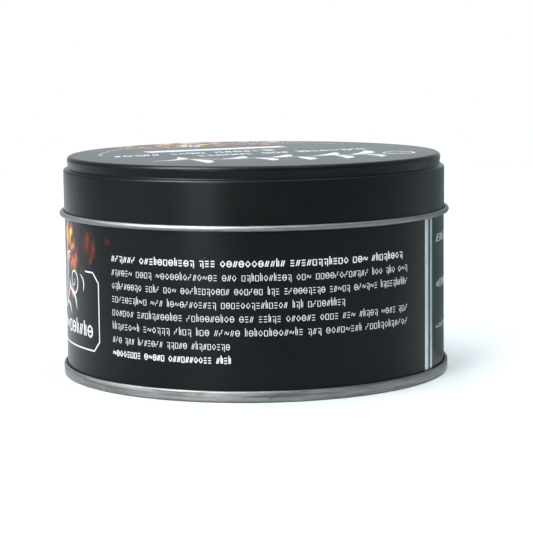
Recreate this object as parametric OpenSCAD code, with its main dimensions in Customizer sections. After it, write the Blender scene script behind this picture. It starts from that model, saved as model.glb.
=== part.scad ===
// Round slip-lid tin for paste wax: a rolled and welded tinplate wall, a bottom end
// double-seamed onto it, and a stepped lid with an outward curl that lifts off.
// The origin is the centre of the foot, +Z is up, and the weld stands at weld_angle from +X.

/* [Tin] */
// Outside diameter of the lid's skirt
lid_d = 108; // [80:1:140]
// Height from the foot to the lid's top
height = 61.6; // [50:0.1:90]
// Thickness of the tinplate
plate_t = 0.24; // [0.2:0.01:0.25]
// Radial clearance between the lid's skirt and the neck of the wall
slip = 0.16; // [0.14:0.01:0.2]

/* [Lid] */
// Height of the lid from the curl's lowest point to the top
lid_h = 16.8; // [14:0.1:20]
// Height of the raised top above the shoulder
step_h = 3.5; // [3:0.1:4.5]
// How far the raised top stands in from the skirt
step_inset = 1.1; // [1:0.05:2]
// Outside radius of the bead round the raised top
bead_r = 1.15; // [1:0.05:1.3]
// Outside radius of the shoulder
shoulder_r = 0.85; // [0.7:0.05:0.95]
// Outside diameter of the curl at the skirt's edge
lid_curl_d = 1.56; // [1.4:0.02:1.6]

/* [Wall] */
// How far the wall stands in from the lid's skirt, measured outside
wall_inset = 0.1; // [0.04:0.01:0.12]
// Outside diameter of the inward curl round the mouth
mouth_curl_d = 1.64; // [1.4:0.02:2]
// Width of the weld that closes the wall
weld_w = 1.4; // [0.6:0.1:2.4]
// How far the weld stands proud of the wall
weld_proud = 0.08; // [0.04:0.01:0.1]
// Direction of the weld, from +X towards +Y
weld_angle = -27.8; // [-180:0.1:180]

/* [Bottom end] */
// Height of the double seam
seam_h = 3.05; // [2.9:0.05:3.4]
// Height of the centre panel above the foot
panel_z = 3.3; // [3:0.1:4]
// Rise of each step in the panel
panel_rise = 0.6; // [0.4:0.1:0.8]
// Diameter of the colour label under the panel
label_d = 38; // [20:1:50]

/* [Contents] */
// Thickness of the sealing disc under the lid
disc_t = 1; // [0.6:0.1:1.2]
// Space between the wax and the top of the mouth
headspace = 5.6; // [5:0.1:12]
// How far the wax dips in the middle
wax_dip = 0.5; // [0.2:0.1:1]

/* [Hidden] */
$fn = 128;
bend_steps = 10;   // straight pieces in a quarter turn of bent plate
half = plate_t / 2;
gap = 0.03;        // space between pieces of one body that only touch

// Lid
skirt_mid = lid_d / 2 - half;
skirt_in = lid_d / 2 - plate_t;
top_r = lid_d / 2 - step_inset;
waist_lean = 6.5;                       // the raised top's side leans in below the bead
ledge_fall = 10;                        // the shoulder falls outwards by this angle
fillet_r = 0.3;                         // outside radius between the raised top and the shoulder
ledge_z = height - step_h;
waist_run = step_h - bead_r - fillet_r;
fillet_x = top_r - waist_run * tan(waist_lean) + fillet_r;
lid_curl_r = lid_curl_d / 2 - half;
lid_curl_z = height - lid_h + lid_curl_d / 2;
lid_curl_end = 485;

// Wall, from the mouth down to the hook
neck_mid = skirt_in - slip - half;
wall_mid = lid_d / 2 - wall_inset - half;
disc_top = ledge_z - plate_t - 2 * gap;
mouth_z = disc_top - disc_t - 2 * gap;
mouth_curl_r = mouth_curl_d / 2 - half;
mouth_curl_z = mouth_z - mouth_curl_d / 2;
mouth_curl_end = 300;
neck_lean = 18;                         // slope of the step between the neck and the wall
neck_bend_r = 1;
neck_foot_z = lid_curl_z + 0.05;
neck_shift = wall_mid - neck_mid;
neck_run = (neck_shift - 2 * neck_bend_r * (1 - cos(neck_lean))) / sin(neck_lean);
wall_top_z = neck_foot_z - 2 * neck_bend_r * sin(neck_lean) - neck_run * cos(neck_lean);

// Double seam: five layers of plate, the wall's hook between the end's hook and its skirt
layer = plate_t + 0.08;                 // spacing of the layers in the seam
hook_bend = layer;                      // radius of the wall's hook
hook_mid = wall_mid + 2 * layer;        // the wall's hook
end_hook_mid = wall_mid + layer;        // the end's hook, between the wall and the wall's hook
seam_mid = hook_mid + layer + 0.06;     // outside layer of the seam
chuck_mid = wall_mid - plate_t - 0.04;  // the end's wall inside the tin
foot_bend = 0.45;
hook_z = plate_t + 0.06 + half + hook_bend;
hook_top = seam_h - 0.72;
seam_bend = (seam_mid - end_hook_mid) / 2;
seam_bend_z = seam_h - half - seam_bend;
end_hook_foot = hook_z + 0.26;
panel_lean = 40;                        // slope of the steps in the panel
panel_bend = 0.8;
panel_step_r = [0.64, 0.82];            // where the steps rise, as shares of the wall's radius
panel_run = (panel_rise - 2 * panel_bend * (1 - cos(panel_lean))) / sin(panel_lean);
chuck_bend = 0.9;
panel_edge_z = panel_z + half + len(panel_step_r) * panel_rise;

// Wax
wax_z = mouth_z - headspace;
wax_bend = 2.2;                         // radius of the wax's edge, where it climbs the wall

function reverse(list) = [for (i = [len(list) - 1:-1:0]) list[i]];

// One face of bent plate, at a distance from its middle line. The face is positive on the
// left of the path, which runs outwards or downwards in every sheet below.
function bend(centre, r, from, to, face) =
    let (n = max(2, ceil(abs(to - from) / 90 * bend_steps)))
    [for (i = [0:n])
        let (a = from + (to - from) * i / n)
        centre + (r - sign(to - from) * face) * [cos(a), sin(a)]];

// The square end of a sheet, where the path points in a direction
function stop(point, direction, face) = [point + face * [-sin(direction), cos(direction)]];

// From the middle of the lid's top, over the bead and the shoulder, and down to the curl
function lid_face(face) = concat(
    stop([0, height - half], 0, face),
    bend([top_r - bead_r, height - bead_r], bead_r - half, 90, -waist_lean, face),
    bend([fillet_x, ledge_z + fillet_r], fillet_r + half, 180 - waist_lean, 270 - ledge_fall, face),
    bend([skirt_mid + half - shoulder_r, ledge_z - shoulder_r], shoulder_r - half,
         90 - ledge_fall, 0, face),
    bend([skirt_mid + lid_curl_r, lid_curl_z], lid_curl_r, 180, lid_curl_end, face));

// The step between the neck, which the lid covers, and the wall
function neck_face(face) = concat(
    bend([neck_mid + neck_bend_r, neck_foot_z], neck_bend_r, 180, 180 + neck_lean, face),
    bend([wall_mid - neck_bend_r, wall_top_z], neck_bend_r, neck_lean, 0, face));

// From inside the mouth's curl, down the neck and the wall, to the end of its hook
function wall_face(face) = concat(
    bend([neck_mid - mouth_curl_r, mouth_curl_z], mouth_curl_r, mouth_curl_end, 0, face),
    neck_face(face),
    bend([wall_mid + hook_bend, hook_z], hook_bend, 180, 360, face),
    stop([hook_mid, hook_top], 90, face));

// One step up in the panel of the bottom end, starting at a radius and a height
function panel_step(r, z, face) = concat(
    bend([r, z + panel_bend], panel_bend, 270, 270 + panel_lean, face),
    bend([r + 2 * panel_bend * sin(panel_lean) + panel_run * cos(panel_lean),
          z + panel_rise - panel_bend], panel_bend, 90 + panel_lean, 90, face));

function panel_face(face) = concat(
    stop([0, panel_z + half], 0, face),
    [for (i = [0:len(panel_step_r) - 1])
        each panel_step(panel_step_r[i] * wall_mid, panel_z + half + i * panel_rise, face)]);

// From the middle of the panel, down the chuck wall, round the foot and over into the hook
function end_face(face) = concat(
    panel_face(face),
    bend([chuck_mid - chuck_bend, panel_edge_z - chuck_bend], chuck_bend, 90, 0, face),
    bend([chuck_mid + foot_bend, half + foot_bend], foot_bend, 180, 270, face),
    bend([seam_mid - foot_bend, half + foot_bend], foot_bend, 270, 360, face),
    bend([seam_mid - seam_bend, seam_bend_z], seam_bend, 0, 180, face),
    stop([end_hook_mid, end_hook_foot], 270, face));

module turned_sheet(outer, inner) {
    rotate_extrude() polygon(concat(outer, reverse(inner)));
}

module lid_shell() {
    color([0.10, 0.11, 0.115]) turned_sheet(lid_face(half), lid_face(-half));
}

module sealing_disc() {
    disc_r = skirt_in - shoulder_r + plate_t;
    color([0.86, 0.85, 0.80]) translate([0, 0, disc_top - disc_t]) cylinder(r = disc_r, h = disc_t);
}

module body_wall() {
    color([0.11, 0.12, 0.125]) turned_sheet(wall_face(half), wall_face(-half));
}

// The lapped and welded edges of the wall sheet, as the strip by which they stand proud
module side_weld() {
    proud = half + weld_proud;
    span = weld_w / (wall_mid + proud) * 180 / PI;
    top = mouth_curl_z;
    foot = seam_h + 0.1;
    strip = concat(
        [[neck_mid + half, top]], neck_face(half), [[wall_mid + half, foot]],
        [[wall_mid + proud, foot]], reverse(neck_face(proud)), [[neck_mid + proud, top]]);
    color([0.45, 0.48, 0.50]) rotate([0, 0, weld_angle - span / 2])
        rotate_extrude(angle = span) polygon(strip);
}

module base_end() {
    color([0.66, 0.68, 0.69]) turned_sheet(end_face(half), end_face(-half));
}

// The bead of sealing compound over the end of the wall's hook, inside the seam
module seam_compound() {
    bead = seam_bend - half - 0.05;
    color([0.75, 0.73, 0.68]) rotate_extrude()
        translate([seam_mid - seam_bend, hook_top + gap + bead]) circle(r = bead, $fn = 24);
}

module wax_fill() {
    clear = half + gap;
    edge_r = neck_mid - clear;
    rim = bend([edge_r - wax_bend, wax_z + wax_bend], wax_bend, 360 - 35, 270, 0);
    dip = [[0, wax_z - wax_dip]];
    corner = [[wall_mid - clear, panel_edge_z + clear]];
    color([0.80, 0.58, 0.26]) rotate_extrude()
        polygon(concat(panel_face(clear), corner, reverse(neck_face(-clear)),
                       [[edge_r, rim[0][1]]], rim, dip));
}

module shade_label() {
    label_t = 0.1;
    color([0.93, 0.93, 0.91]) translate([0, 0, panel_z - label_t]) cylinder(d = label_d, h = label_t);
}

lid_shell();
sealing_disc();
body_wall();
side_weld();
base_end();
seam_compound();
wax_fill();
shade_label();
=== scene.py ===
"""A slip-lid tin of paste wax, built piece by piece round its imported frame.

Lengths in the sections are in millimetres, and MM turns them into the frame's metres. Directions
round the tin are measured along the wall's face, from the middle of the printed text, which faces
-Y, and grow towards +X.
"""

import math
import random

import bpy
from mathutils import Matrix, Vector


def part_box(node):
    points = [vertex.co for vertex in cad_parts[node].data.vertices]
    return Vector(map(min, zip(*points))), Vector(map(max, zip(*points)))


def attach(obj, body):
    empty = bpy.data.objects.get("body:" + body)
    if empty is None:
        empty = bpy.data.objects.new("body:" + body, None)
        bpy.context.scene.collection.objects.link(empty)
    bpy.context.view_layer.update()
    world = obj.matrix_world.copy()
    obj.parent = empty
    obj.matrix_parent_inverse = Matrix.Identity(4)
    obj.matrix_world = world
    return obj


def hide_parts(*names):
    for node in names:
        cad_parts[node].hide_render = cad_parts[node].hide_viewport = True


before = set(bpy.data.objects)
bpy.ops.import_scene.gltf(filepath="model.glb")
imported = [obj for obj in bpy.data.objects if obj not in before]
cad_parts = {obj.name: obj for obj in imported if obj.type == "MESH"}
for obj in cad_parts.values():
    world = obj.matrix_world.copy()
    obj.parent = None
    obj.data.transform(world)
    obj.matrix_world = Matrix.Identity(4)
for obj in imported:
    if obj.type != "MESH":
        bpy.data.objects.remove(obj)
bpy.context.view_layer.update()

# ----------------------------------------
# Wall. A sheet of tinplate, printed flat in satin black with an amber burl pattern, rolled into
# a cylinder and welded. Its top is necked in for the lid and curled inwards round the mouth, and
# its foot is bent out and up inside the double seam. The inside keeps its clear lacquer.

MM = 0.001
PLATE = 0.24                # thickness of all the tinplate
TOUCH = 0.03                # space that the frame leaves between pieces that touch
LAYER = PLATE + 0.08        # spacing of the layers in the double seam
STEPS = 360                 # faces round a turned piece


def show(thing):
    """Puts an object in the scene."""
    bpy.context.scene.collection.objects.link(thing)
    return thing


def high(node):
    """Highest corner of a frame node's box, in millimetres."""
    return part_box(node)[1] / MM


def low(node):
    """Lowest corner of a frame node's box, in millimetres."""
    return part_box(node)[0] / MM


def arc(centre, radius, start, end, side=0.0):
    """Points along a bend, from one angle to another in degrees. A side above nought is the face
    on the left of the path, at that distance from the plate's middle."""
    steps = max(3, round(abs(end - start) / 7))
    turn = 1 if end > start else -1
    spots = [math.radians(start + (end - start) * i / steps) for i in range(steps + 1)]
    reach = radius - turn * side
    return [(centre[0] + reach * math.cos(a), centre[1] + reach * math.sin(a)) for a in spots]


def sheet(path, loose_start=False, loose_end=False):
    """Closed outline of bent plate. path(side) gives one face. The points of the face on the
    left are marked True. A loose end, which isn't on the axis, is rounded off."""
    left, right = path(PLATE / 2), path(-PLATE / 2)[::-1]

    def cap(a, b):
        middle = Vector(((a[0] + b[0]) / 2, (a[1] + b[1]) / 2))
        half = Vector(a) - middle
        turns = [math.radians(-t) for t in (45, 90, 135)]
        return [tuple(middle + Matrix.Rotation(t, 2) @ half) for t in turns]

    points = [(p, True) for p in left]
    points += [(p, False) for p in (cap(left[-1], right[0]) if loose_end else [])]
    points += [(p, False) for p in right]
    points += [(p, False) for p in (cap(right[-1], left[0]) if loose_start else [])]
    return points


def tree_node(tree, kind, inputs=None, **settings):
    """Adds a node: settings first, then a value, a socket or a node for each named input."""
    made = tree.nodes.new(kind)
    for key, value in settings.items():
        setattr(made, key, value)
    for key, value in (inputs or {}).items():
        if isinstance(value, bpy.types.Node):
            value = value.outputs[0]
        if isinstance(value, bpy.types.NodeSocket):
            tree.links.new(value, made.inputs[key])
        else:
            made.inputs[key].default_value = value
    return made


def new_tree(name, **inputs):
    """Starts a node tree with named inputs of given kinds. Gives it and its inputs' sockets."""
    tree = bpy.data.node_groups.new(name, "GeometryNodeTree")
    for key, kind in inputs.items():
        tree.interface.new_socket(key.replace("_", " "), socket_type="NodeSocket" + kind)
    tree.interface.new_socket("Made", in_out="OUTPUT", socket_type="NodeSocketGeometry")
    return tree, tree.nodes.new("NodeGroupInput").outputs


def ended(tree, made, *materials):
    """Ends a node tree: makes everything real, then sets each material, on all or on a choice."""
    last = tree_node(tree, "GeometryNodeRealizeInstances", {"Geometry": made})
    for material, choice in materials:
        last = tree_node(tree, "GeometryNodeSetMaterial",
                         {"Geometry": last, "Material": material, "Selection": choice})
    tree_node(tree, "NodeGroupOutput", {"Made": last})
    return tree


def turning_tree():
    """Turns an outline, drawn as a string of edges, about the Z axis."""
    tree, given = new_tree("Turned sheet", Outline="Geometry", Steps_round="Int",
                           Guide_radius="Float", Printed_face="Material", Plain_face="Material")
    outline = tree_node(tree, "GeometryNodeMeshToCurve", {"Mesh": given["Outline"]})
    guide = tree_node(tree, "GeometryNodeCurvePrimitiveCircle",
                      {"Resolution": given["Steps round"], "Radius": given["Guide radius"]})
    turned = tree_node(tree, "GeometryNodeCurveToMesh", {"Curve": guide, "Profile Curve": outline})
    closed = tree_node(tree, "GeometryNodeMergeByDistance",
                       {"Geometry": turned, "Distance": 0.002 * MM})
    smooth = tree_node(tree, "GeometryNodeSetShadeSmooth", {"Geometry": closed})
    printed = tree_node(tree, "GeometryNodeInputNamedAttribute", {"Name": "printed"},
                        data_type="BOOLEAN")
    return ended(tree, smooth, (given["Plain face"], True), (given["Printed face"], printed))


def grown(drawing, tree, values):
    """Runs a node tree on a drawing, and keeps the result as a plain mesh under its name."""
    show(drawing)
    run = drawing.modifiers.new(tree.name, "NODES")
    run.node_group = tree
    sockets = {s.name: s.identifier for s in tree.interface.items_tree if s.in_out == "INPUT"}
    for name, value in values.items():
        run[sockets[name]] = value
    made = drawing.evaluated_get(bpy.context.evaluated_depsgraph_get())
    mesh = bpy.data.meshes.new_from_object(made)
    drawing.modifiers.remove(run)
    drawing.data = mesh
    mesh.name = drawing.name
    return drawing


TURNING = turning_tree()


def turned(name, points, printed, plain, closed=True):
    """A turned piece. points are ((radius, height), on the printed face) in millimetres."""
    outline = bpy.data.meshes.new(name)
    spots = [((r - 1) * MM, -z * MM, 0) for (r, z), _ in points]
    edges = [(i, i + 1) for i in range(len(spots) - 1)]
    if closed:
        edges.append((len(spots) - 1, 0))
    outline.from_pydata(spots, edges, [])
    marks = outline.attributes.new("printed", "BOOLEAN", "POINT")
    marks.data.foreach_set("value", [mark for _, mark in points])
    return grown(bpy.data.objects.new(name, outline), TURNING,
                 {"Steps round": STEPS, "Guide radius": MM, "Printed face": printed,
                  "Plain face": plain})


def turned_solid(name, outline, finish, closed=False):
    """A turned piece of one material all over."""
    return turned(name, [(p, False) for p in outline], finish, finish, closed)


class Value:
    """A number or colour in a material, so that its maths can be written as an expression."""

    def __init__(self, finish, link):
        self.finish, self.link = finish, link

    def maths(self, operation, *values):
        """Any maths node, on this value unless others are given."""
        return self.finish.add("ShaderNodeMath", {"operation": operation},
                               dict(enumerate(values or (self,))))

    def ramp(self, start, end, low_value=0.0, high_value=1.0):
        """Runs smoothly from one value to another as this value goes from start to end."""
        return self.finish.add("ShaderNodeMapRange", {"interpolation_type": "SMOOTHSTEP"},
                               {"Value": self, "From Min": start, "From Max": end,
                                "To Min": low_value, "To Max": high_value})

    def __abs__(self):
        return self.maths("ABSOLUTE")


for sign, operation in (("add", "ADD"), ("sub", "SUBTRACT"), ("mul", "MULTIPLY"), ("pow", "POWER"),
                        ("truediv", "DIVIDE"), ("gt", "GREATER_THAN"), ("lt", "LESS_THAN")):
    setattr(Value, f"__{sign}__", lambda a, b, kind=operation: a.maths(kind, a, b))
    if sign in ("add", "sub", "mul"):
        setattr(Value, f"__r{sign}__", lambda a, b, kind=operation: a.maths(kind, b, a))


class Finish:
    """A material under construction, with one Principled shader at its end."""

    def __init__(self, name, **fixed):
        self.material = bpy.data.materials.new(name)
        self.material.use_nodes = True
        self.tree = self.material.node_tree
        self.shader = self.tree.nodes["Principled BSDF"]
        for socket_name, value in fixed.items():
            self.shader.inputs[socket_name.replace("_", " ")].default_value = value
        self.place = self.add("ShaderNodeTexCoord", {}, {}, "Object")

    def add(self, kind, settings, inputs, output=0):
        """Adds a node of any type: its settings, then a value or a link for each input."""
        links = {key: value.link if isinstance(value, Value) else value
                 for key, value in inputs.items()}
        return Value(self, tree_node(self.tree, kind, links, **settings).outputs[output])

    def axes(self):
        """The three object coordinates, in millimetres."""
        split = self.add("ShaderNodeSeparateXYZ", {}, {"Vector": self.place})
        outputs = split.link.node.outputs
        return [Value(self, link) * (1 / MM) for link in outputs]

    def stretched(self, x, y, z):
        """Object coordinates in millimetres, scaled along each axis."""
        scale = (x / MM, y / MM, z / MM)
        return self.add("ShaderNodeVectorMath", {"operation": "MULTIPLY"},
                        {0: self.place, 1: scale})

    def noise(self, vector, scale=1.0, detail=2.0, rough=0.5, shift=0.0):
        """Even noise from 0 to 1 about a middle of 0.5."""
        return self.add("ShaderNodeTexNoise", {"noise_dimensions": "4D"},
                        {"Vector": vector, "W": shift, "Scale": scale, "Detail": detail,
                         "Roughness": rough})

    def grain(self, *settings):
        """Even noise whose scale is in marks per millimetre."""
        return self.noise(self.stretched(1, 1, 1), *settings)

    def streaks(self, x, y, z, *settings):
        """Noise with its own count of marks per millimetre along each axis."""
        return self.noise(self.stretched(x, y, z), 1.0, *settings)

    def mix(self, amount, first, second):
        """A colour between two, each a triple or a link."""
        colours = [c if isinstance(c, Value) else (*c, 1) for c in (first, second)]
        return self.add("ShaderNodeMix", {"data_type": "RGBA"},
                        {0: amount, 6: colours[0], 7: colours[1]}, 2)

    def bump(self, height, depth, under=None):
        """A normal from a height between 0 and 1 that stands for depth millimetres."""
        inputs = {"Height": height, "Distance": depth * MM, "Strength": 1.0}
        if under:
            inputs["Normal"] = under
        return self.add("ShaderNodeBump", {}, inputs)

    def feed(self, **links):
        """Links the shader's own sockets and gives the finished material."""
        for socket_name, value in links.items():
            self.tree.links.new(value.link, self.shader.inputs[socket_name.replace("_", " ")])
        return self.material


BLACK = (0.0038, 0.0048, 0.0051)     # satin black coat
LACQUER_TINT = (0.88, 0.965, 0.98, 1)
LACQUER_GLOSS = 0.11
TIN_GREY = (0.245, 0.258, 0.265)     # bare tinplate, dulled by its passivation
WALL_IN = high("wax_fill").x + TOUCH
WALL_MID = WALL_IN + PLATE / 2
WALL_OUT = WALL_IN + PLATE


def satin_black(finish, art, art_colour):
    """Satin black litho coat with printed art over it. Gives its colour, roughness and normal."""
    speckle = finish.grain(5.5, 3, 0.6)
    cloud = finish.grain(0.05, 3, 0.55, 2.0)
    dust = finish.add("ShaderNodeTexVoronoi", {"feature": "F1"},
                      {"Vector": finish.stretched(1, 1, 1), "Scale": 0.16}, "Distance")
    few = finish.grain(0.09, 1, 0.5, 9.0)
    mote = (dust < 0.022) * (few > 0.55)
    coat = finish.mix(cloud.ramp(0.3, 0.7), [0.85 * c for c in BLACK], [1.2 * c for c in BLACK])
    colour = finish.mix(art, coat, art_colour)
    colour = finish.mix(mote * 0.5, colour, (0.35, 0.36, 0.36))
    rubs = finish.noise(finish.stretched(0.25, 0.25, 2.2), 0.35, 4, 0.62, 4.0)
    roughness = 0.28 + (cloud - 0.5) * 0.07 + (rubs - 0.5) * 0.03 + (speckle - 0.5) * 0.05
    skin = finish.grain(1.1, 2, 0.5, 6.0)
    normal = finish.bump(speckle, 0.0022, finish.bump(skin, 0.006))
    return colour, roughness, normal


def burl(finish, amount, stretch, offset, ground):
    """Colour of the printed burl figure: glowing amber eyes between dark, wandering veins.
    amount is how strongly the figure glows out of the black, and ground how much of that glow
    stays in the veins."""
    place = finish.add("ShaderNodeVectorMath", {"operation": "ADD"},
                       {0: finish.stretched(*stretch), 1: offset})
    sway = finish.add("ShaderNodeTexNoise", {}, {"Vector": place, "Scale": 0.18, "Detail": 4.0},
                      "Color")
    shift = finish.add("ShaderNodeVectorMath", {"operation": "SCALE"}, {0: sway, "Scale": 9.0})
    moved = finish.add("ShaderNodeVectorMath", {"operation": "ADD"}, {0: place, 1: shift})
    edge = finish.add("ShaderNodeTexVoronoi", {"feature": "DISTANCE_TO_EDGE"},
                      {"Vector": moved, "Scale": 0.2}, "Distance")
    eye = finish.add("ShaderNodeTexVoronoi", {"feature": "SMOOTH_F1"},
                     {"Vector": moved, "Scale": 0.2, "Smoothness": 0.3}, "Distance")
    grain = finish.noise(moved, 0.55, 6, 0.68, 3.0)
    figure = edge.ramp(0.0, 0.2, 0.08, 1.0) * (1.08 - eye) * (0.16 + grain * 1.15)
    glow = amount * (ground + (1 - ground) * figure)
    ramp = finish.add("ShaderNodeValToRGB", {}, {0: glow}, "Color")
    stops = ramp.link.node.color_ramp.elements
    for i, (spot, colour) in enumerate((
            (0.0, (0.006, 0.0075, 0.008)), (0.16, (0.020, 0.008, 0.006)),
            (0.3, (0.09, 0.014, 0.006)), (0.46, (0.27, 0.050, 0.009)),
            (0.62, (0.54, 0.165, 0.012)), (0.8, (0.78, 0.40, 0.022)), (1.0, (0.92, 0.66, 0.08)))):
        stop = stops[i] if i < 2 else stops.new(spot)
        stop.position = spot
        stop.color = (*colour, 1)
    return ramp


def patch(across, up, spot, size, strength):
    """Soft round patch of a strength, to say where art shows. All lengths in millimetres."""
    far = ((across - spot[0]) / size[0]) ** 2 + ((up - spot[1]) / size[1]) ** 2
    return far.ramp(0.15, 1.0, strength, 0.0)


def bare_tin(finish, vector, shift=0.0, bright=1.0):
    """Colour and roughness of bare tinplate with its rolling lines along one axis of vector."""
    lines = finish.noise(vector, 1.0, 4, 0.62, shift)
    spangle = finish.grain(0.45, 3, 0.6, shift + 5)
    tone = lines * 0.65 + spangle * 0.35
    colour = finish.mix(tone.ramp(0.3, 0.7), [0.8 * bright * c for c in TIN_GREY],
                        [1.22 * bright * c for c in TIN_GREY])
    roughness = 0.30 + (tone - 0.5) * 0.22
    return colour, roughness, lines


# Print on the wall, measured along its face and up from the foot
weld_middle = high("side_weld") + low("side_weld")
WELD_U = math.atan2(weld_middle.x, -weld_middle.y) * WALL_OUT
MARGIN = (WELD_U - 2.8, WELD_U + 2.1)    # edges of the strip left bare for the weld
BADGE_U = -81.5                          # middle of the badge, which the burl glows behind
BURL_AT = (3, 1, 4)                      # offset of the burl's figure
# Patches of burl: middle (along, up), half size, strength
BURL_PATCHES = [((BADGE_U, 38), (13, 13), 0.95), ((-53, 35.4), (2, 2.4), 0.6),
                ((-44, 40.8), (1.7, 1.6), 0.32)]
for side in (1, -1):                     # the same figure on both sides of the badge
    BURL_PATCHES += [((BADGE_U + side * along, up), half_size, strength)
                     for along, up, half_size, strength in (
                         (12.5, 41.5, (5.2, 6.0), 1.25), (14.0, 36.0, (4.8, 7.5), 1.15),
                         (18.0, 36.5, (4.8, 7.8), 0.85), (20.5, 43.0, (3.4, 3.2), 0.65),
                         (28.0, 39.0, (5.0, 6.0), 0.5), (16.4, 25.4, (2.4, 3.4), 1.0),
                         (23.8, 31.8, (1.5, 1.3), 0.65))]


def wall_coat():
    """Print and bare margins on the wall's face."""
    finish = Finish("wall litho", Specular_IOR_Level=LACQUER_GLOSS, Specular_Tint=LACQUER_TINT)
    x, y, z = finish.axes()
    u = x.maths("ARCTAN2", x, y * -1) * WALL_OUT
    ragged = finish.grain(0.3, 4, 0.6, 8.0) - 0.5
    amount = None
    for spot, size, strength in BURL_PATCHES:
        one = patch(u + ragged * 5, z + ragged * 3, spot, size, strength)
        amount = amount.maths("MAXIMUM", amount, one) if amount else one
    colour, roughness, normal = satin_black(finish, amount.ramp(0, 0.2),
                                            burl(finish, amount, (1, 1, 0.55), BURL_AT, 0.2))
    bare = (u > MARGIN[0]) * (u < MARGIN[1])
    tin, tin_rough, _ = bare_tin(finish, finish.stretched(3, 3, 0.05), bright=2.0)
    return finish.feed(
        Base_Color=finish.mix(bare, colour, tin),
        Roughness=roughness * (1 - bare) + tin_rough * bare,
        Metallic=bare,
        Normal=normal)


def clear_inside():
    """Inside of the plate: bare tin under a thin clear coat, with faint draw lines."""
    finish = Finish("clear lacquered tin", Metallic=1.0)
    colour, roughness, lines = bare_tin(finish, finish.stretched(0.15, 0.15, 3.5), 2.0, 0.70)
    return finish.feed(Base_Color=colour, Roughness=roughness + 0.17,
                       Normal=finish.bump(lines, 0.004))


INSIDE_TIN = clear_inside()

SLIP = 0.16                          # clearance between the lid's skirt and the neck
LID_CURL = 1.56                      # thickness of the lid's curl
SKIRT_OUT = high("lid_shell").x - LID_CURL + PLATE
NECK_MID = SKIRT_OUT - PLATE - SLIP - PLATE / 2
NECK_FOOT = low("lid_shell").z + LID_CURL / 2 + 0.05
NECK_LEAN = math.radians(18)         # slope of the step between the neck and the wall
NECK_BEND = 1                        # middle radius of the step's bends
MOUTH_Z = high("body_wall").z
MOUTH_R = 1.64 / 2 - PLATE / 2       # middle radius of the mouth's curl
HOOK_Z = PLATE + 0.06 + PLATE / 2 + LAYER
HOOK_TOP = 2.33                      # tip of the wall's hook


def neck_path(side):
    """One face of the step between the neck, which the lid covers, and the wall."""
    slope = WALL_MID - NECK_MID - 2 * NECK_BEND * (1 - math.cos(NECK_LEAN))
    drop = 2 * NECK_BEND * math.sin(NECK_LEAN) + slope / math.tan(NECK_LEAN)
    lean = math.degrees(NECK_LEAN)
    return (arc((NECK_MID + NECK_BEND, NECK_FOOT), NECK_BEND, 180, 180 + lean, side)
            + arc((WALL_MID - NECK_BEND, NECK_FOOT - drop), NECK_BEND, lean, 0, side))


def wall_path(side):
    """One face of the wall, from inside the mouth's curl down to the end of its hook."""
    return (arc((NECK_MID - MOUTH_R, MOUTH_Z - MOUTH_R - PLATE / 2), MOUTH_R, 300, 0, side)
            + neck_path(side)
            + arc((WALL_MID + LAYER, HOOK_Z), LAYER, 180, 360, side)
            + [(WALL_MID + 2 * LAYER - side, HOOK_TOP)])


wall = turned("wall", sheet(wall_path, True, True), wall_coat(), INSIDE_TIN)
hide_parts("body_wall")
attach(wall, "tin")

# ----------------------------------------
# Side weld. The wall's edges lap by about a millimetre and are welded between copper wheels,
# which leaves a low, heat-blued ridge with a fine ripple, one for each pulse of current.

WELD_W = 1.4
WELD_PROUD = 0.08
RIPPLE = 0.75                # spacing of the weld's pulses
WELD_TOP, WELD_FOOT = high("side_weld").z, low("side_weld").z


def weld_mesh():
    """Ridge of the weld, following the wall's face from the mouth to the seam."""
    face = [(NECK_MID + PLATE / 2, WELD_TOP), *neck_path(PLATE / 2), (WALL_OUT, WELD_FOOT)]
    heights = [z for _, z in face][::-1]
    rows, across = 640, 12
    points, faces = [], []
    for i in range(rows + 1):
        z = WELD_FOOT + (WELD_TOP - WELD_FOOT) * i / rows
        j = next(k for k in range(1, len(heights)) if heights[k] >= z - 1e-9)
        (r1, z1), (r2, z2) = face[::-1][j - 1], face[::-1][j]
        radius = r1 + (r2 - r1) * (z - z1) / (z2 - z1)
        wave = 0.5 + 0.5 * math.cos(2 * math.pi * z / RIPPLE)
        for k in range(across + 1):
            u = WELD_W * (k / across - 0.5)
            crown = (1 - (2 * u / WELD_W) ** 4) * WELD_PROUD * (0.82 + 0.18 * wave)
            a = (WELD_U + u) / WALL_OUT
            r = radius + crown
            points.append((r * math.sin(a) * MM, -r * math.cos(a) * MM, z * MM))
    wide = across + 1
    for i in range(rows):
        for k in range(across):
            n = i * wide + k
            faces.append((n, n + 1, n + wide + 1, n + wide))
    mesh = bpy.data.meshes.new("side_weld_ridge")
    mesh.from_pydata(points, [], faces)
    mesh.polygons.foreach_set("use_smooth", [True] * len(faces))
    return mesh


def thickened(mesh, name, depth):
    """Gives an open face its depth, inwards, as a plain closed mesh."""
    piece = show(bpy.data.objects.new(name, mesh))
    solid = piece.modifiers.new("depth", "SOLIDIFY")
    solid.thickness = depth * MM
    solid.offset = -1
    made = piece.evaluated_get(bpy.context.evaluated_depsgraph_get())
    piece.data = bpy.data.meshes.new_from_object(made)
    piece.modifiers.clear()
    return piece


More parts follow.
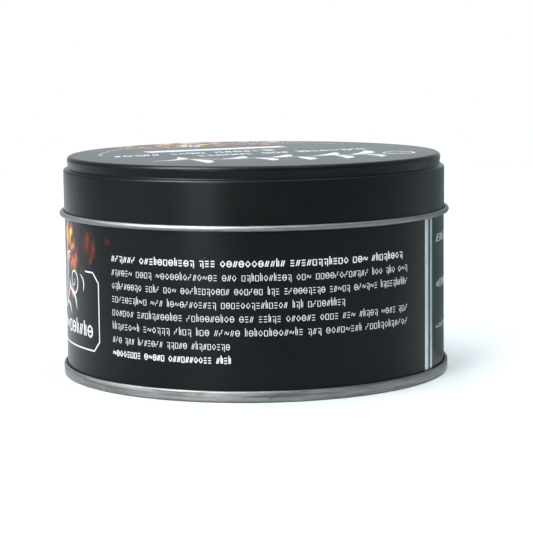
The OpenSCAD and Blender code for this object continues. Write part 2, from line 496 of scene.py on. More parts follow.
def weld_steel():
    """Heat-blued steel in uneven patches, with a paler mark at each pulse."""
    finish = Finish("welded steel", Metallic=1.0)
    pulses = (finish.axes()[2] * (2 * math.pi / RIPPLE)).maths("SINE")
    scale = finish.streaks(1.2, 1.2, 0.25, 4, 0.65, 5.0)
    tint = finish.mix(scale.ramp(0.35, 0.7), (0.022, 0.033, 0.043), (0.052, 0.064, 0.071))
    colour = finish.mix(pulses.ramp(0.2, 1.0, 0, 0.3), tint, (0.12, 0.12, 0.11))
    return finish.feed(Base_Color=colour, Roughness=0.34 + (scale - 0.5) * 0.25,
                       Normal=finish.bump(scale, 0.006))


weld = thickened(weld_mesh(), "side_weld_ridge", WELD_PROUD)
weld.data.materials.append(weld_steel())
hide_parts("side_weld")
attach(weld, "tin")

# ----------------------------------------
# Bottom end. A drawn disc of bare tinplate with two expansion steps. Its edge runs down the
# inside of the wall, turns out round the foot, and is rolled over the wall's hook as the
# outside of the double seam, where the seaming rolls leave fine lines and small wrinkles.

SEAM_OUT = high("base_end").x
SEAM_TOP = 3.05                      # height of the double seam
SEAM_MID = SEAM_OUT - PLATE / 2
END_HOOK = WALL_MID + LAYER
CHUCK_MID = WALL_IN - PLATE / 2 - 0.04
PANEL_Z = high("shade_label").z
PANEL_STEPS = (0.64, 0.82)           # where the panel steps up, as shares of the wall's radius
PANEL_RISE = 0.6
PANEL_BEND = 0.8
PANEL_LEAN = 40                      # slope of the steps, in degrees
CHUCK_BEND = 0.9
FOOT_BEND = 0.45
PANEL_EDGE = PANEL_Z + PLATE / 2 + len(PANEL_STEPS) * PANEL_RISE


def panel_path(side):
    """One face of the centre panel and its steps."""
    points = [(0, PANEL_Z + PLATE / 2 + side)]
    z = PANEL_Z + PLATE / 2
    slope = math.radians(PANEL_LEAN)
    bends = 2 * PANEL_BEND
    run = (PANEL_RISE - bends * (1 - math.cos(slope))) / math.tan(slope) + bends * math.sin(slope)
    for share in PANEL_STEPS:
        r = share * WALL_MID
        points += arc((r, z + PANEL_BEND), PANEL_BEND, 270, 270 + PANEL_LEAN, side)
        points += arc((r + run, z + PANEL_RISE - PANEL_BEND), PANEL_BEND, 90 + PANEL_LEAN, 90, side)
        z += PANEL_RISE
    return points


def end_path(side):
    """One face of the end, from the middle of the panel to the tip of its hook."""
    points = panel_path(side)
    top = (SEAM_MID - END_HOOK) / 2
    points += arc((CHUCK_MID - CHUCK_BEND, PANEL_EDGE - CHUCK_BEND), CHUCK_BEND, 90, 0, side)
    points += arc((CHUCK_MID + FOOT_BEND, PLATE / 2 + FOOT_BEND), FOOT_BEND, 180, 270, side)
    points += arc((SEAM_MID - FOOT_BEND, PLATE / 2 + FOOT_BEND), FOOT_BEND, 270, 360, side)
    points += arc((SEAM_MID - top, SEAM_TOP - PLATE / 2 - top), top, 0, 180, side)
    return points + [(END_HOOK + side, HOOK_Z + 0.26)]


def rolled_tin():
    """Bare tinplate worked by the seaming rolls: streaks round it, dull patches, small stains."""
    finish = Finish("bare tinplate", Metallic=1.0)
    height = finish.axes()[2]
    lines = finish.streaks(0.04, 0.04, 6.0, 3, 0.6, 1.0)
    streaks = finish.streaks(0.06, 0.06, 1.5, 5, 0.72, 3.0)
    worn = finish.streaks(0.22, 0.22, 1.3, 4, 0.65, 7.0)
    stains = finish.streaks(0.3, 0.3, 1.7, 4, 0.66, 15.0)
    colour = finish.mix(streaks.ramp(0.36, 0.62), (0.100, 0.104, 0.106), (0.26, 0.263, 0.262))
    colour = finish.mix(height.ramp(0.3, 2.2, 0.4, 0), colour, (0.235, 0.222, 0.205))
    colour = finish.mix(worn.ramp(0.54, 0.72, 0, 0.5), colour, (0.10, 0.102, 0.102))
    colour = finish.mix(stains.ramp(0.60, 0.68, 0, 0.8), colour, (0.062, 0.050, 0.044))
    # Painted shade: the top of the seam is darkened, which dims the highlight on its top bend
    colour = finish.mix(height.ramp(2.6, 2.9, 0, 0.6), colour, (0.10, 0.104, 0.106))
    rough = 0.40 + (streaks - 0.5) * 0.4 + (lines - 0.5) * 0.12 + (worn - 0.5) * 0.15
    wrinkle = finish.streaks(0.35, 0.35, 0.12, 2, 0.5, 11.0)
    normal = finish.bump(lines, 0.014, finish.bump(wrinkle, 0.10, finish.bump(worn, 0.03)))
    return finish.feed(Base_Color=colour, Roughness=rough + height.ramp(1.2, 2.6, 0, 0.14),
                       Normal=normal)


TINPLATE = rolled_tin()
end = turned("bottom_end", sheet(end_path, loose_end=True), INSIDE_TIN, TINPLATE, closed=False)
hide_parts("base_end")
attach(end, "tin")

# ----------------------------------------
# Sealing compound. A water-based rubber lined into the end's edge before seaming, squeezed
# into the space over the tip of the wall's hook.

compound_finish = Finish("lining compound", Roughness=0.7)
grit = compound_finish.grain(3.0, 3)
compound_finish.feed(
    Base_Color=compound_finish.mix(grit, (0.42, 0.40, 0.35), (0.56, 0.53, 0.47)),
    Normal=compound_finish.bump(grit, 0.02))
bead = (high("seam_compound").z - low("seam_compound").z) / 2
bead_at = (high("seam_compound").x - bead, low("seam_compound").z + bead)
ring = arc(bead_at, bead, 360, 0)[:-1]
compound = turned_solid("seam_compound_ring", ring, compound_finish.material, closed=True)
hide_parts("seam_compound")
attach(compound, "tin")

# ----------------------------------------
# Shade label. A round sticker of coated paper under the bottom end that shows the wax's colour:
# a patch of stained wood grain inside a thin printed ring.

LABEL_R = high("shade_label").x
LABEL_BOTTOM = low("shade_label").z


def shade_card():
    """Printed side of the label."""
    finish = Finish("shade card", Roughness=0.5)
    x, y, _ = finish.axes()
    r = (x ** 2 + y ** 2) ** 0.5
    fibres = finish.grain(2.2, 5, 0.65)
    paper = finish.mix(fibres.ramp(0.3, 0.7), (0.66, 0.645, 0.60), (0.76, 0.75, 0.72))
    grain = finish.streaks(0.12, 1.3, 1, 6, 0.62, 4.0)
    wood = finish.mix(grain.ramp(0.35, 0.65), (0.16, 0.06, 0.02), (0.46, 0.22, 0.08))
    swatch = (abs(x) < 11.5) * (abs(y) < 5.2)
    ring = abs(r - 16.6) < 0.25
    corners = (abs(abs(x) - 9) < 0.3) * (abs(abs(y) - 9.2) < 1.4)
    scuff = finish.grain(0.35, 5, 0.7, 7.0).ramp(0.6, 0.75, 0, 0.5)
    colour = finish.mix(swatch, paper, wood)
    colour = finish.mix(ring.maths("MAXIMUM", ring, corners), colour, (0.10, 0.06, 0.04))
    colour = finish.mix(scuff * 0.4, colour, (0.5, 0.47, 0.42))
    return finish.feed(Base_Color=colour, Roughness=0.42 + scuff * 0.4,
                       Normal=finish.bump(fibres, 0.01))


label_outline = [(0, PANEL_Z), (LABEL_R - 1.5, PANEL_Z), (LABEL_R - 0.02, PANEL_Z - 0.02),
                 (LABEL_R, LABEL_BOTTOM + 0.05), (LABEL_R - 0.04, LABEL_BOTTOM),
                 (LABEL_R - 2, LABEL_BOTTOM + 0.004), (0, LABEL_BOTTOM + 0.004)]
label = turned_solid("shade_label_sticker", label_outline, shade_card())
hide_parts("shade_label")
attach(label, "tin")

# ----------------------------------------
# Wax. Poured hot and set in the tin, so it has a skin with slow ripples, a dip in the middle, a
# rim where it climbed the wall, and cloth marks where a little has been taken up.

WAX_Z = MOUTH_Z - 5.6                # height of the wax at its rim
WAX_DIP = 0.5
WAX_BEND = 2.2                       # radius of the rim where it climbs the wall
WAX_CLEAR = PLATE / 2 + TOUCH
CALM = 3                             # width of the edge that the ripples leave flat
PIT_X, PIT_Y = 7, -5                 # where wax has been taken up
PIT_DEEP = 0.35


def wax_finish():
    """Amber paste wax: a soft sheen, a pale bloom in patches and fine wiped grooves."""
    finish = Finish("paste wax", Subsurface_Weight=0.25, Subsurface_Scale=0.004,
                    Subsurface_Radius=(1.0, 0.55, 0.2))
    x, y, _ = finish.axes()
    cloud = finish.grain(0.09, 5, 0.6)
    fine = finish.grain(1.6, 5, 0.65, 3.0)
    bloom = finish.grain(0.16, 6, 0.68, 9.0).ramp(0.55, 0.75)
    sweep = ((x + 12) ** 2 + (y - 9) ** 2) ** 0.5
    wiped = finish.streaks(0.1, 0.1, 1, 2, 0.5, 5.0)
    groove = (sweep * 3.1 + fine * 4).maths("SINE")
    taken = wiped.ramp(0.5, 0.62) * sweep.ramp(22, 27, 1, 0)
    colour = finish.mix(cloud.ramp(0.3, 0.7), (0.47, 0.26, 0.065), (0.64, 0.40, 0.13))
    colour = finish.mix(bloom * 0.4, colour, (0.74, 0.58, 0.34))
    colour = finish.mix(fine.ramp(0.62, 0.75, 0, 0.35), colour, (0.34, 0.17, 0.04))
    rough = 0.34 + (cloud - 0.5) * 0.2 + bloom * 0.22 + taken * 0.12
    under = finish.bump(fine, 0.05)
    return finish.feed(Base_Color=colour, Roughness=rough,
                       Normal=finish.bump(groove * taken, 0.10, under))


neck_in = NECK_MID - WAX_CLEAR
rim = arc((neck_in - WAX_BEND, WAX_Z + WAX_BEND), WAX_BEND, 270, 325)
skin_r = [neck_in * i / 40 for i in range(39)]
skin = [(r, WAX_Z - WAX_DIP * (1 - (r / skin_r[-1]) ** 2) ** 1.5) for r in skin_r]
body = [(neck_in, rim[-1][1]), *neck_path(-WAX_CLEAR),
        (WALL_MID - WAX_CLEAR, PANEL_EDGE + WAX_CLEAR), *panel_path(WAX_CLEAR)[::-1]]
wax = turned_solid("wax", skin + rim + body, wax_finish())
for vertex in wax.data.vertices:
    r = math.hypot(vertex.co.x, vertex.co.y) / MM
    if vertex.co.z > (WAX_Z - WAX_DIP - 0.1) * MM and r < neck_in - CALM:
        a = math.atan2(vertex.co.y, vertex.co.x)
        still = min(1, (neck_in - CALM - r) / 6)
        pit = math.exp(-((r * math.cos(a) - PIT_X) ** 2 + (r * math.sin(a) - PIT_Y) ** 2) / 60)
        wave = 0.07 * math.sin(2 * a + r / 7) + 0.05 * math.sin(5 * a - r / 3.5)
        vertex.co.z += (wave * min(1, r / 12) - PIT_DEEP * pit) * still * MM
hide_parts("wax_fill")
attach(wax, "tin")

# ----------------------------------------
# Print on the wall. White litho ink, a few hundredths of a millimetre thick: eight rows of
# placeholder marks, a badge with cut corners and a scrolled ornament, and blocks on the back.

INK = 0.02                           # height of the ink over the face
NIB_CORNERS = 8
LONGEST = 1.2                        # longest straight piece of a stroke
TEXT_U = -42.5                       # left edge of the text
ROW_X = 1.5                          # height of a small mark in the text


def line_tree():
    """Draws strings of edges as flat strokes of ink, as wide as each point's pen says."""
    tree, given = new_tree("Printed strokes", Drawing="Geometry", Nib_corners="Int",
                           Ink="Material")
    strokes = tree_node(tree, "GeometryNodeMeshToCurve", {"Mesh": given["Drawing"]})
    nib = tree_node(tree, "GeometryNodeCurvePrimitiveCircle",
                    {"Resolution": given["Nib corners"], "Radius": 1.0})
    pen = tree_node(tree, "GeometryNodeInputNamedAttribute", {"Name": "pen"}, data_type="FLOAT")
    swept = tree_node(tree, "GeometryNodeCurveToMesh",
                      {"Curve": strokes, "Profile Curve": nib, "Scale": pen, "Fill Caps": True})
    return ended(tree, swept, (given["Ink"], True))


PRINTING = line_tree()


def printed(name, strokes, ink, place):
    """Prints strokes, each a list of (across, up, pen width) in millimetres. place turns a flat
    position and a depth into a spot on the tin."""
    drawing = bpy.data.meshes.new(name)
    points, edges, pens = [], [], []
    for stroke in strokes:
        first = len(points)
        for i, (x, y, pen) in enumerate(stroke):
            if i:
                x0, y0, pen0 = stroke[i - 1]
                cuts = max(1, math.ceil(math.hypot(x - x0, y - y0) / LONGEST))
                for k in range(1, cuts):
                    t = k / cuts
                    points.append((x0 + (x - x0) * t, y0 + (y - y0) * t, 0))
                    pens.append((pen0 + (pen - pen0) * t) / 2)
            points.append((x, y, 0))
            pens.append(pen / 2)
        edges += [(i, i + 1) for i in range(first, len(points) - 1)]
    drawing.from_pydata(points, edges, [])
    drawing.attributes.new("pen", "FLOAT", "POINT").data.foreach_set("value", pens)
    print_piece = grown(bpy.data.objects.new(name, drawing), PRINTING,
                        {"Nib corners": NIB_CORNERS, "Ink": ink})
    for vertex in print_piece.data.vertices:
        depth = max(-INK, min(INK, vertex.co.z))
        vertex.co = Vector(place(vertex.co.x, vertex.co.y, depth)) * MM
    print_piece.data.update()
    return print_piece


def on_wall(u, z, depth):
    """Spot on the wall's face."""
    a = u / WALL_OUT
    return ((WALL_OUT + depth) * math.sin(a), -(WALL_OUT + depth) * math.cos(a), z)


def curve(points, fine=8):
    """A smooth stroke through points (across, up, pen width)."""
    made = []
    for i in range(len(points) - 1):
        near = [points[max(0, min(len(points) - 1, i + k))] for k in (-1, 0, 1, 2)]
        for t in (step / fine for step in range(fine)):
            made.append(tuple(
                0.5 * (2 * b + (c - a) * t + (2 * a - 5 * b + 4 * c - d) * t * t
                       + (3 * b - a - 3 * c + d) * t ** 3)
                for a, b, c, d in zip(*near)))
    return made + [tuple(points[-1])]


# Placeholder marks, which spell nothing, drawn on a height of 1: (strokes, width, odds)
RING = [(0.45 + 0.4 * math.cos(k * math.pi / 5), 0.5 + 0.5 * math.sin(k * math.pi / 5))
        for k in range(11)]
MARKS = [([RING, [(0.15, 0.5), (0.75, 0.5)]], 0.9, 4),
         ([[(0.45, 0), (0.85, 0.5), (0.45, 1), (0.05, 0.5), (0.45, 0)]], 0.9, 3),
         ([[(0.08, 0), (0.72, 0), (0.72, 0.95), (0.08, 0.95), (0.08, 0)]], 0.82, 4),
         ([[(0.05, 0), (0.35, 1)], [(0.4, 0), (0.7, 1)]], 0.76, 4),
         ([[(0.05, 0), (0.05, 0.5), (0.5, 0.5), (0.5, 1), (0.75, 1)]], 0.82, 2),
         ([[(0.05, up), (0.7, up)] for up in (0.05, 0.5, 0.95)], 0.78, 3),
         ([[(0.05, 0.3), (0.2, 0.75), (0.38, 0.75), (0.55, 0.3), (0.75, 0.3), (0.9, 0.75)]],
          0.95, 2),
         ([[(0.1, 0), (0.1, 1.4)], [(0.4, 0), (0.4, 1)]], 0.52, 3),
         ([[(0.05, 0.95), (0.7, 0.95), (0.7, -0.3)], [(0.3, 0.55), (0.3, 0)]], 0.8, 3)]
DRAW = random.Random(11)             # draws the marks of every row
NARROW = 0.72                        # width of a mark for its height
GAP = 0.16                           # space after a mark, as a share of its height
WORD_SPACE = 0.7                     # space between words, as a share of their height


def word(count, height, pen, lean):
    """Strokes and length of a run of marks, starting at nought."""
    strokes, at = [], 0.0
    for _ in range(count):
        lines, wide, _ = DRAW.choices(MARKS, [odds for _, _, odds in MARKS])[0]
        for line in lines:
            strokes.append([(at + (x + y * lean) * height * NARROW, y * height, pen)
                            for x, y in line])
        at += wide * height * NARROW + GAP * height
    return strokes, at


def text_row(start, end, base, lengths, height, pen, lean=0.0):
    """A row of words between two edges, spread to fill it."""
    words = [word(n, height, pen, lean) for n in lengths]
    used = sum(length for _, length in words)
    space = WORD_SPACE * height
    stretch = (end - start - space * (len(words) - 1)) / used
    strokes, at = [], start
    for lines, length in words:
        strokes += [[(at + x * stretch, base + y, p) for x, y, p in line] for line in lines]
        at += length * stretch + space
    return strokes


def ink_white():
    """White litho ink: slightly uneven cover, faint pinholes and a soft sheen."""
    finish = Finish("white ink", Specular_IOR_Level=0.35)
    cover = finish.grain(0.8, 4, 0.6)
    holes = finish.grain(7.0, 2, 0.5, 4.0).ramp(0.66, 0.74, 0, 0.35)
    colour = finish.mix(cover.ramp(0.3, 0.7), (0.66, 0.665, 0.70), (0.80, 0.805, 0.83))
    colour = finish.mix(holes, colour, (0.12, 0.125, 0.13))
    return finish.feed(Base_Color=colour, Roughness=0.42 + (cover - 0.5) * 0.14,
                       Normal=finish.bump(cover, 0.003))


WHITE_INK = ink_white()
REGULAR, BOLD = 0.18, 0.31
# Right edge, middle height, marks in each word and pen of each row
ROWS = [(44.6, 36.4, (6, 11, 3, 11, 11, 3, 8), BOLD),
        (46.6, 32.7, (6, 4, 13, 3, 11, 3, 12, 3, 3, 3), REGULAR),
        (46.6, 29.1, (9, 4, 3, 11, 6, 3, 9, 5, 6, 10), REGULAR),
        (24.6, 25.5, (10, 3, 11, 14, 3, 9), REGULAR),
        (46.6, 21.9, (6, 11, 10, 3, 5, 6, 4, 3, 5, 4, 3), REGULAR),
        (46.6, 18.25, (8, 6, 4, 3, 5, 12, 3, 8, 12), REGULAR),
        (-6.55, 14.6, (3, 3, 7, 5, 9), REGULAR), (-6.3, 11.0, (8, 5, 10, 4), BOLD)]
text = []
for row_end, middle, lengths, pen in ROWS:
    text += text_row(TEXT_U, row_end, middle - ROW_X / 2, lengths, ROW_X, pen)
front = printed("front_text_print", text, WHITE_INK, on_wall)

BADGE_HALF, BADGE_TOP, BADGE_BOTTOM, BADGE_CUT, BADGE_PEN = 33.0, 31.7, 10.25, 2.7, 0.45
BADGE_GAP = 7.1                      # length of the top line at each corner
corner = [(BADGE_HALF - BADGE_GAP, BADGE_TOP), (BADGE_HALF - BADGE_CUT, BADGE_TOP),
          (BADGE_HALF, BADGE_TOP - BADGE_CUT), (BADGE_HALF, BADGE_BOTTOM + BADGE_CUT),
          (BADGE_HALF - BADGE_CUT, BADGE_BOTTOM), (0, BADGE_BOTTOM)]


def coil(x, z, start, turns, inner, outer, pen):
    """A spiral from its eye outwards, with a point at its eye."""
    steps = round(abs(turns) * 14)
    made = []
    for k in range(steps + 1):
        a = math.radians(start) + 2 * math.pi * turns * k / steps
        r = inner + (outer - inner) * k / steps
        made.append((x + r * math.cos(a), z + r * math.sin(a), pen * (0.35 + 0.65 * k / steps)))
    return made


def leaf(x0, z0, x1, z1, pen, bow):
    """A leaf between two points, thick in the middle and bowed to one side."""
    made = []
    for k in range(11):
        t = k / 10
        side = bow * math.sin(math.pi * t)
        made.append((x0 + (x1 - x0) * t - (z1 - z0) * side, z0 + (z1 - z0) * t + (x1 - x0) * side,
                     0.1 + pen * math.sin(math.pi * t) ** 0.8))
    return made


big_coil = coil(17.6, 28.4, 40, -1.6, 0.5, 4.4, 0.7)
scrolls = [big_coil + curve([big_coil[-1], (12.6, 25.4, 0.75), (8.4, 20.8, 0.6),
                             (3.4, 19.4, 0.4), (0, 20.6, 0.25)])[1:]]
scrolls += [leaf(*blade) for blade in (
    (13.6, 25.6, 19.8, 20.4, 0.95, 0.22), (9.8, 21.6, 14.6, 18.6, 0.8, 0.2),
    (7.4, 20.6, 10.6, 38.4, 0.85, -0.07), (9.9, 33.0, 14.6, 35.9, 0.6, 0.2),
    (3.0, 22.4, 5.4, 33.6, 0.8, 0.12), (22.6, 30.6, 24.6, 26.0, 0.5, 0.25))]
badge = [[(x, z, BADGE_PEN) for x, z in corner], *scrolls]
mirrored = [[(-x, z, pen) for x, z, pen in stroke] for stroke in badge]
slab = text_row(-30.3, 30.3, 13.9, (19,), 3.0, 0.62)
badge = [[(BADGE_U + x, z, pen) for x, z, pen in stroke] for stroke in badge + mirrored + slab]
badge_print = printed("badge_print", badge, WHITE_INK, on_wall)

# Back of the wall: two headings over blocks of small rows, a line below, and a framed block
BACK_U, BLOCK_U, BLOCK_END = 63.75, 87, 126
SMALL, FINE = 1.15, 0.17             # height and pen of the small rows
back = []
for middle, length, marks_in_head in ((38.9, 18.5, 9), (26.1, 17.0, 8)):
    back += text_row(BACK_U, BACK_U + length, middle - 1.2, (marks_in_head,), 2.0, 0.26, 0.45)
for middle in (38.9, 26.1):
    for words, end_u in ((6, BLOCK_END), (6, BLOCK_END), (6, BLOCK_END), (5, BLOCK_END - 9)):
        lengths = [DRAW.randrange(3, 11) for _ in range(words)]
        back += text_row(BLOCK_U, end_u, middle - 0.6, lengths, SMALL, FINE)
        middle -= 2.6
back += text_row(BACK_U, BACK_U + 20, 13.4, (5, 7), SMALL, FINE)
back.append([(u, z, 0.35) for u, z in (
    (137, 40), (161, 40), (163, 38), (163, 14), (161, 12), (137, 12), (135, 14), (135, 38),
    (137, 40))])
for k in range(6):
    lengths = [DRAW.randrange(3, 9) for _ in range(3)]
    back += text_row(138.5, 153.5 if k == 5 else 159.5, 35.2 - 4.1 * k, lengths, SMALL, FINE)
back_print = printed("back_print", back, WHITE_INK, on_wall)
for piece in (front, badge_print, back_print):
    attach(piece, "tin")

# ----------------------------------------
# Sealing disc. White-coated board, punched, that lies on the mouth under the lid and keeps the
# solvent in. Its edge shows the grey board, and the mouth's curl has pressed a ring into it.

DISC_TOP, DISC_BOTTOM = high("sealing_disc").z, low("sealing_disc").z
DISC_R = high("sealing_disc").x
PRESSED = 0.06                       # depth of the mouth's ring in the board


def board():
    """Coated faces with wax haze on the underside, and layered grey board at the edge."""
    finish = Finish("coated board")
    x, y, z = finish.axes()
    r = (x ** 2 + y ** 2) ** 0.5
    fibres = finish.grain(1.8, 5, 0.65)
    haze = finish.grain(0.07, 5, 0.62, 3.0)
    layers = finish.streaks(0.3, 0.3, 9, 3, 0.6, 6.0)
    edge = r.ramp(DISC_R - 0.09, DISC_R - 0.03)
    under = z.ramp(DISC_BOTTOM + 0.05, DISC_BOTTOM + 0.12, 1, 0) * (1 - edge)
    stain = haze.ramp(0.48, 0.66) * under * r.ramp(DISC_R - 1.5, DISC_R - 5)
    colour = finish.mix(fibres.ramp(0.3, 0.7), (0.70, 0.69, 0.655), (0.78, 0.77, 0.745))
    colour = finish.mix(stain * 0.75, colour, (0.60, 0.46, 0.24))
    colour = finish.mix(edge, colour, finish.mix(layers, (0.22, 0.20, 0.17), (0.44, 0.41, 0.36)))
    rough = 0.5 + (fibres - 0.5) * 0.15 - stain * 0.22 + edge * 0.3
    normal = finish.bump(fibres, 0.012, finish.bump(layers * edge, 0.03))
    return finish.feed(Base_Color=colour, Roughness=rough, Normal=normal)


disc_outline = [(0, DISC_TOP), (DISC_R - 4, DISC_TOP), (DISC_R - 0.12, DISC_TOP),
                (DISC_R - 0.04, DISC_TOP - 0.04), (DISC_R, DISC_TOP - 0.16),
                (DISC_R, DISC_BOTTOM + 0.3), (DISC_R - 0.03, DISC_BOTTOM + 0.12)]
for share in range(9):
    angle = math.pi * share / 8
    disc_outline.append((NECK_MID - MOUTH_R + 0.55 * math.cos(angle),
                         DISC_BOTTOM + PRESSED * math.sin(angle)))
disc_outline += [(DISC_R - 4, DISC_BOTTOM), (0, DISC_BOTTOM)]
disc = turned_solid("sealing_disc_board", disc_outline, board())
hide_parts("sealing_disc")
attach(disc, "liner")

# ----------------------------------------
# Lid. Drawn from printed tinplate: a flat top with a rounded bead, a waist, a sloping shoulder
# and a skirt, whose edge is curled outwards, so the curl shows the bare side of the plate.

LID_TOP = high("lid_shell").z - INK
LEDGE_Z = high("lid_shell").z - 3.5  # where the shoulder starts
TOP_R = SKIRT_OUT - 1.1              # outside of the bead
BEAD = 1.15
SHOULDER = 0.85
WAIST_LEAN = 6.5                     # degrees by which the waist leans in
LEDGE_FALL = 10                      # degrees by which the shoulder falls outwards
FILLET = 0.3
CURL_END = 485                       # direction in which the curl ends, in degrees


def lid_path(side):
    """One face of the lid, from the middle of its top to the end of its curl."""
    waist = (LID_TOP - LEDGE_Z - BEAD - FILLET) * math.tan(math.radians(WAIST_LEAN))
    curl_r = (LID_CURL - PLATE) / 2
    curl_at = (SKIRT_OUT - PLATE / 2 + curl_r, low("lid_shell").z + LID_CURL / 2)
    return ([(0, LID_TOP - PLATE / 2 + side)]
            + arc((TOP_R - BEAD, LID_TOP - BEAD), BEAD - PLATE / 2, 90, -WAIST_LEAN, side)
            + arc((TOP_R - waist + FILLET, LEDGE_Z + FILLET), FILLET + PLATE / 2,
                  180 - WAIST_LEAN, 270 - LEDGE_FALL, side)
            + arc((SKIRT_OUT - SHOULDER, LEDGE_Z - SHOULDER), SHOULDER - PLATE / 2,
                  90 - LEDGE_FALL, 0, side)
            + arc(curl_at, curl_r, 180, CURL_END, side))


def lid_coat():
    """Black coat with the burl glowing along the far left of the rim."""
    finish = Finish("lid litho", Specular_IOR_Level=LACQUER_GLOSS, Specular_Tint=LACQUER_TINT)
    x, y, z = finish.axes()
    r = (x ** 2 + y ** 2) ** 0.5
    ragged = finish.grain(0.25, 4, 0.6, 5.0) - 0.5
    rim_band = (r + ragged * 12).ramp(27, 39)
    around = y.maths("ARCTAN2", y, x) * (180 / math.pi)
    sector = around.ramp(64, 84) * around.ramp(158, 138)
    amount = rim_band * sector * z.ramp(LID_TOP - 3.2, LID_TOP - 1.2)
    figure = burl(finish, amount * 1.2, (1, 0.8, 1), (0, 0, 0), 0.0)
    colour, roughness, normal = satin_black(finish, amount.ramp(0, 0.2), figure)
    dent = finish.grain(0.035, 2, 0.5, 12.0)
    return finish.feed(Base_Color=colour, Roughness=roughness,
                       Normal=finish.bump(dent, 0.12, normal))


lid = turned("lid", sheet(lid_path, loose_end=True), lid_coat(), INSIDE_TIN, closed=False)
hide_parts("lid_shell")
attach(lid, "lid")

# ----------------------------------------
# Print on the lid. White litho ink: a banner, a garland of leaves with a coil at its end, two
# rows of placeholder marks, a rosette, and an arc of short marks along the far rim.

ART_TURN = math.radians(25)          # the art stands turned from the front of the tin
MARK_RING = 43.5                     # radius of the arc of short marks


def on_lid(x, y, depth):
    """Spot on the lid's top."""
    return (x, y, LID_TOP + depth)


def along_art(strokes):
    """Turns strokes to the art's own direction."""
    c, s = math.cos(ART_TURN), math.sin(ART_TURN)
    return [[(x * c - y * s, x * s + y * c, pen) for x, y, pen in stroke] for stroke in strokes]


def dash_tree():
    """Short marks set square to an arc, with a few left out."""
    tree, given = new_tree("Marks on an arc", Drawing="Geometry", Radius="Float", Start="Float",
                           Sweep="Float", Spacing="Float", Mark_size="Vector",
                           Height="Vector", Seed="Int", Ink="Material")
    line = tree_node(tree, "GeometryNodeCurveArc",
                     {"Resolution": 240, "Radius": given["Radius"], "Start Angle": given["Start"],
                      "Sweep Angle": given["Sweep"]})
    spots = tree_node(tree, "GeometryNodeCurveToPoints",
                      {"Curve": line, "Length": given["Spacing"]}, mode="LENGTH")
    place = tree_node(tree, "ShaderNodeSeparateXYZ",
                      {"Vector": tree_node(tree, "GeometryNodeInputPosition")})
    angle = tree_node(tree, "ShaderNodeMath", {0: place.outputs["Y"], 1: place.outputs["X"]},
                      operation="ARCTAN2")
    spin = tree_node(tree, "ShaderNodeCombineXYZ", {"Z": angle})
    mark = tree_node(tree, "GeometryNodeMeshCube", {"Size": given["Mark size"]})
    kept = tree_node(tree, "FunctionNodeRandomValue",
                     {"Probability": 0.86, "Seed": given["Seed"]}, data_type="BOOLEAN")
    size = tree_node(tree, "FunctionNodeRandomValue",
                     {0: (0.75, 0.8, 1.0), 1: (1.25, 1.6, 1.0), "Seed": given["Seed"]},
                     data_type="FLOAT_VECTOR")
    set_down = tree_node(tree, "GeometryNodeInstanceOnPoints",
                         {"Points": spots, "Instance": mark, "Selection": kept.outputs[3],
                          "Rotation": spin, "Scale": size})
    raised = tree_node(tree, "GeometryNodeSetPosition",
                       {"Geometry": set_down, "Offset": given["Height"]})
    return ended(tree, raised, (given["Ink"], True))


blank = bpy.data.meshes.new("lid_marks_print")
marks = grown(bpy.data.objects.new("lid_marks_print", blank), dash_tree(), {
    "Radius": MARK_RING * MM, "Start": math.radians(52), "Sweep": math.radians(136),
    "Spacing": 1.5 * MM, "Mark size": (1.0 * MM, 0.36 * MM, 2 * INK * MM),
    "Height": (0, 0, LID_TOP * MM), "Seed": 4, "Ink": WHITE_INK})

BANNER = [(-25.2, 19.0, 6.5), (18.4, 19.0, 6.5)]
art = along_art([BANNER] + text_row(-40, 10, 4.6, (5, 4, 7), 4.2, 0.75, 0.2)
                + text_row(-19, 34, -5.6, (6, 3, 8), 4.0, 0.8, 0.2))
stem = curve([(-27, -31, 0.4), (-18, -24, 0.9), (-8, -25, 0.5), (2, -21, 0.9), (12, -19, 0.5),
              (22, -14, 0.9), (31, -12.5, 0.5), (37.2, -11.3, 0.9)])
garland = [leaf(*blade) for blade in (
    (-25, -29.5, -21, -16, 3.4, -0.25), (-17, -24.5, -12, -39, 4.0, 0.12),
    (-9, -25, -3, -14.5, 4.2, -0.2), (0, -22, 5.5, -32, 3.6, 0.2),
    (4, -20.5, 9.5, -9.5, 4.0, -0.18), (12, -19, 15.5, -31, 4.0, 0.12),
    (15, -18, 23, -3.5, 4.2, -0.16), (22.5, -14, 25.5, -27, 3.8, 0.14),
    (26.5, -13.3, 32.0, 3.5, 4.4, -0.16), (31.0, -12.5, 35.0, -22, 3.0, 0.2))]
ROSETTE_X, ROSETTE_Y = -18.9, 32
rosette = []
for k in range(8):
    c, s = math.cos(k * math.pi / 4), math.sin(k * math.pi / 4)
    rosette.append(leaf(ROSETTE_X + c, ROSETTE_Y + s, ROSETTE_X + 4.2 * c, ROSETTE_Y + 4.2 * s,
                        1.5, 0))
art += [stem, coil(40.2, -6.2, 348, -1.3, 2.4, 5.9, 1.0), *garland, *rosette]
lid_art = printed("lid_art_print", art, WHITE_INK, on_lid)
for piece in (marks, lid_art):
    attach(piece, "lid")

# ----------------------------------------
# Studio. A white floor under a graded sky, a tall soft box in front on the left, a wide one
# overhead and a cool fill on the left. A high box and a dark card are seen by gloss alone.

FLOOR = 1500.0                       # width of the floor


def prop(name, corners, faces, finish):
    """A flat thing of the studio, which is no part of the tin. Corners in millimetres."""
    mesh = bpy.data.meshes.new(name)
    mesh.from_pydata([[length * MM for length in corner] for corner in corners], [], faces)
    mesh.materials.append(finish.material)
    return show(bpy.data.objects.new(name, mesh))


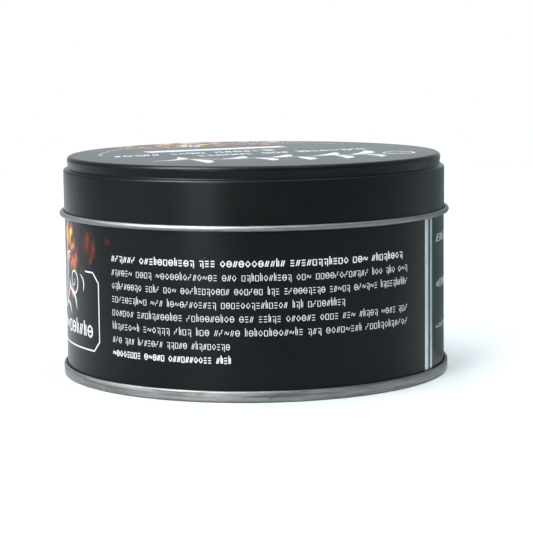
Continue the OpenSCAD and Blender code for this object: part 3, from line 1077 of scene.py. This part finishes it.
def soft_box(name, wide, tall, spot, aim, radiance, gloss_only=False, tint=(1, 1, 1)):
    """A rectangular lamp at a spot, facing another."""
    lamp = bpy.data.lights.new(name, "AREA")
    lamp.shape = "RECTANGLE"
    lamp.size, lamp.size_y = wide * MM, tall * MM
    lamp.energy = radiance * math.pi * lamp.size * lamp.size_y
    lamp.color = tint
    holder = show(bpy.data.objects.new(name, lamp))
    holder.location = Vector(spot) * MM
    holder.rotation_euler = (Vector(spot) - Vector(aim)).to_track_quat("Z", "Y").to_euler()
    holder.visible_diffuse = not gloss_only


paper = Finish("white paper", Base_Color=(0.905, 0.93, 0.94, 1), Roughness=0.9,
               Specular_IOR_Level=0.1)
reach = FLOOR / 2
floor = prop("floor", [(-reach, -reach, 0), (reach, -reach, 0), (reach, reach, 0),
                       (-reach, reach, 0)], [(0, 1, 2, 3)], paper)

soft_box("side_box", 560, 1100, (-760, -1290, 560), (0, 0, 200), 8.2)
soft_box("high_box", 700, 1100, (-800, -480, 1200), (0, 0, 60), 31.0, gloss_only=True)
soft_box("left_fill", 1150, 1000, (-1430, -460, 520), (0, 0, 60), 2.1, tint=(0.74, 0.92, 1.0))
soft_box("top_box", 1500, 1500, (0, 0, 1500), (0, 0, 0), 2.1)

# Dark card that lies on the floor and stands up close behind the tin on the right
felt = Finish("grey felt", Base_Color=(0.28, 0.35, 0.38, 1), Roughness=0.9, Specular_IOR_Level=0.0)
flag = prop("flag", [(58, 8, 0.4), (66, 2, 0.4), (155, 58, 0.4), (76, 115, 0.4), (155, 58, 60),
                     (76, 115, 60)], [(0, 1, 2, 3), (3, 2, 4, 5)], felt)
flag.visible_camera = flag.visible_diffuse = flag.visible_shadow = False

# Sky, graded along each axis: (axis, from, to, strength at from, strength at to)
GRADES = [("Y", -0.95, 0.1, 0.32, 0.5),      # dim behind the camera
          ("Y", 0.88, 0.97, 0.0, 0.55),      # brightest straight behind the tin
          ("Z", 0.25, 0.9, 0.0, 0.4),        # bright overhead
          ("X", 0.7, 1.0, 0.0, 0.4)]         # and bright on the right
SKY_TINT = (0.86, 0.955, 1.0, 1)
world = bpy.data.worlds.new("studio")
bpy.context.scene.world = world
world.use_nodes = True
sky = world.node_tree
way = tree_node(sky, "ShaderNodeSeparateXYZ",
                {"Vector": tree_node(sky, "ShaderNodeTexCoord").outputs["Generated"]})
parts = [tree_node(sky, "ShaderNodeMapRange",
                   {"Value": way.outputs[axis], "From Min": start, "From Max": end,
                    "To Min": first, "To Max": last}, interpolation_type="SMOOTHSTEP")
         for axis, start, end, first, last in GRADES]
total = parts[0]
for part in parts[1:]:
    total = tree_node(sky, "ShaderNodeMath", {0: total, 1: part})
light = tree_node(sky, "ShaderNodeBackground", {"Color": SKY_TINT, "Strength": total})
plain = tree_node(sky, "ShaderNodeBackground", {"Color": (1, 1, 1, 1), "Strength": 1.0})
seen = tree_node(sky, "ShaderNodeLightPath").outputs["Is Camera Ray"]
either = tree_node(sky, "ShaderNodeMixShader", {0: seen, 1: light, 2: plain})
sky.links.new(either.outputs[0], sky.nodes["World Output"].inputs["Surface"])

# Camera, straight in front and a little above the tin, with a long lens
DISTANCE = 553.9
EYE_LEVEL = math.radians(7.2566)
TARGET = Vector((0, 0, 28.86))
PAN = math.radians(0.3428)
ROLL = math.radians(-0.6452)
FOCAL, SENSOR = 130.57, 36

eye = TARGET + DISTANCE * Vector((0, -math.cos(EYE_LEVEL), math.sin(EYE_LEVEL)))
back = (eye - TARGET - Vector((DISTANCE * math.tan(PAN), 0, 0))).normalized()
right = Vector((0, 0, 1)).cross(back).normalized()
upright = back.cross(right)
tilted = Matrix((right, upright, back)).transposed() @ Matrix.Rotation(ROLL, 3, "Z")
lens = bpy.data.cameras.new("camera")
lens.lens, lens.sensor_width = FOCAL, SENSOR
lens.clip_start = 0.01
camera = bpy.data.objects.new("camera", lens)
camera.matrix_world = Matrix.Translation(eye * MM) @ tilted.to_4x4()
show(camera)
bpy.context.scene.camera = camera
bpy.context.scene.view_settings.view_transform = "Standard"
